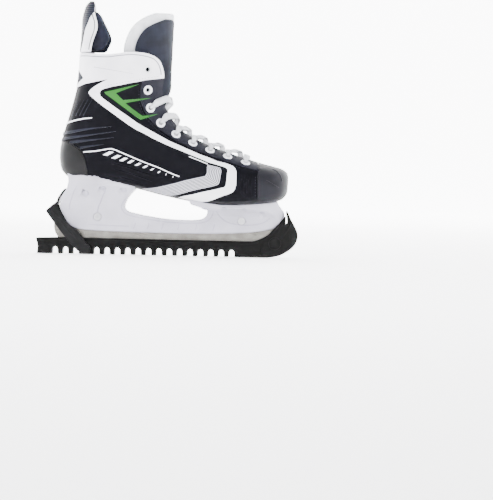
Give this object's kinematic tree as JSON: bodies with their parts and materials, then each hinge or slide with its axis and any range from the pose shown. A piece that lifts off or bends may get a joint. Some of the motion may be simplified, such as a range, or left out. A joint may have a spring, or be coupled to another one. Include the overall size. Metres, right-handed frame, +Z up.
{
  "type": "hockey skate",
  "caption": "Laced ice hockey skate, right foot, with a white blade holder and steel runner, standing in a black blade guard with a hood at the toe and a clip at the heel.",
  "frame": {"origin": "centre of the footprint of the whole object, on the surface it stands on", "axes": "+X to the toe, +Z up, the blade in the plane Y = 0, the outer side of the foot at -Y"},
  "size_m": [0.3275, 0.0982, 0.3156],
  "materials": {
    "toe_cap_skin": "moulded black toe cap, satin",
    "quarter_skin": "stiff black synthetic quarter",
    "counter_skin": "gloss black moulded heel counter",
    "facing_skin": "slate synthetic eyelet facing",
    "outsole_board": "stiff black outsole",
    "insole_board": "pressed board",
    "footbed_foam": "foam footbed",
    "liner_foam": "foam lining, dark slate",
    "collar_skin": "padded white synthetic leather collar",
    "tendon_guard_skin": "white and grey moulded tendon guard",
    "tendon_pad_foam": "navy foam pad",
    "tongue_face": "slate tongue face",
    "tongue_felt": "white felt",
    "eyelet_metal": "plated eyelet",
    "lace_braid": "white flat braid",
    "holder_plastic": "white moulded holder",
    "runner_steel": "ground stainless steel",
    "fastener_steel": "plated steel",
    "guard_plastic": "black moulded plastic",
    "clip_plastic": "black moulded plastic"
  },
  "bodies": {
    "guard": {"guard_body": "guard_plastic"},
    "clip": {"heel_clip": "clip_plastic", "clip_pin": "fastener_steel"},
    "tongue": {"tongue_face_upper": "tongue_face", "tongue_felt_upper": "tongue_felt"},
    "tendon": {"tendon_guard": "tendon_guard_skin", "tendon_pad": "tendon_pad_foam"},
    "skate": {"toe_cap": "toe_cap_skin", "heel_counter": "counter_skin", "outsole": "outsole_board", "insole_board": "insole_board", "footbed": "footbed_foam", "liner": "liner_foam", "tongue_face_lower": "tongue_face", "tongue_felt_lower": "tongue_felt", "lace": "lace_braid", "holder": "holder_plastic", "runner": "runner_steel", "rear_runner_bolt": "fastener_steel", "rear_runner_nut": "fastener_steel", "front_runner_bolt": "fastener_steel", "front_runner_nut": "fastener_steel", "lateral_quarter": "quarter_skin", "lateral_facing": "facing_skin", "lateral_collar": "collar_skin", "lateral_eyelet_1": "eyelet_metal", "lateral_eyelet_2": "eyelet_metal", "lateral_eyelet_3": "eyelet_metal", "lateral_eyelet_4": "eyelet_metal", "lateral_eyelet_5": "eyelet_metal", "lateral_eyelet_6": "eyelet_metal", "lateral_eyelet_7": "eyelet_metal", "lateral_eyelet_8": "eyelet_metal", "lateral_eyelet_9": "eyelet_metal", "medial_quarter": "quarter_skin", "medial_facing": "facing_skin", "medial_collar": "collar_skin", "medial_eyelet_1": "eyelet_metal", "medial_eyelet_2": "eyelet_metal", "medial_eyelet_3": "eyelet_metal", "medial_eyelet_4": "eyelet_metal", "medial_eyelet_5": "eyelet_metal", "medial_eyelet_6": "eyelet_metal", "medial_eyelet_7": "eyelet_metal", "medial_eyelet_8": "eyelet_metal", "medial_eyelet_9": "eyelet_metal", "rear_rivet_1_lateral": "fastener_steel", "rear_rivet_1_medial": "fastener_steel", "rear_rivet_2_lateral": "fastener_steel", "rear_rivet_2_medial": "fastener_steel", "rear_rivet_3_lateral": "fastener_steel", "rear_rivet_3_medial": "fastener_steel", "front_rivet_4_lateral": "fastener_steel", "front_rivet_4_medial": "fastener_steel", "front_rivet_5_lateral": "fastener_steel", "front_rivet_5_medial": "fastener_steel", "front_rivet_6_lateral": "fastener_steel", "front_rivet_6_medial": "fastener_steel", "front_rivet_7_lateral": "fastener_steel", "front_rivet_7_medial": "fastener_steel"}
  },
  "joints": [
    {"name": "skate_lift", "type": "slide", "parent": "guard", "child": "skate", "axis": [-0.3401, 0, 0.9404], "range_m": [0, 0.035]},
    {"name": "clip_hinge", "type": "hinge", "parent": "guard", "child": "clip", "pos_m": [-0.10132, 0, 0.0066], "axis": [0, 1, 0], "range_deg": [-37.1, 0]},
    {"name": "tongue_flex", "type": "hinge", "parent": "skate", "child": "tongue", "pos_m": [0.0012, 0, 0.1988], "axis": [0, 1, 0], "range_deg": [0, 20]},
    {"name": "tendon_flex", "type": "hinge", "parent": "skate", "child": "tendon", "pos_m": [-0.1134, 0, 0.2502], "axis": [0, 1, 0], "range_deg": [-18, 0]}
  ],
  "couplings": [
    {"joint": "clip_hinge", "follows": "skate_lift", "rad_per_m": -18.5}
  ]
}
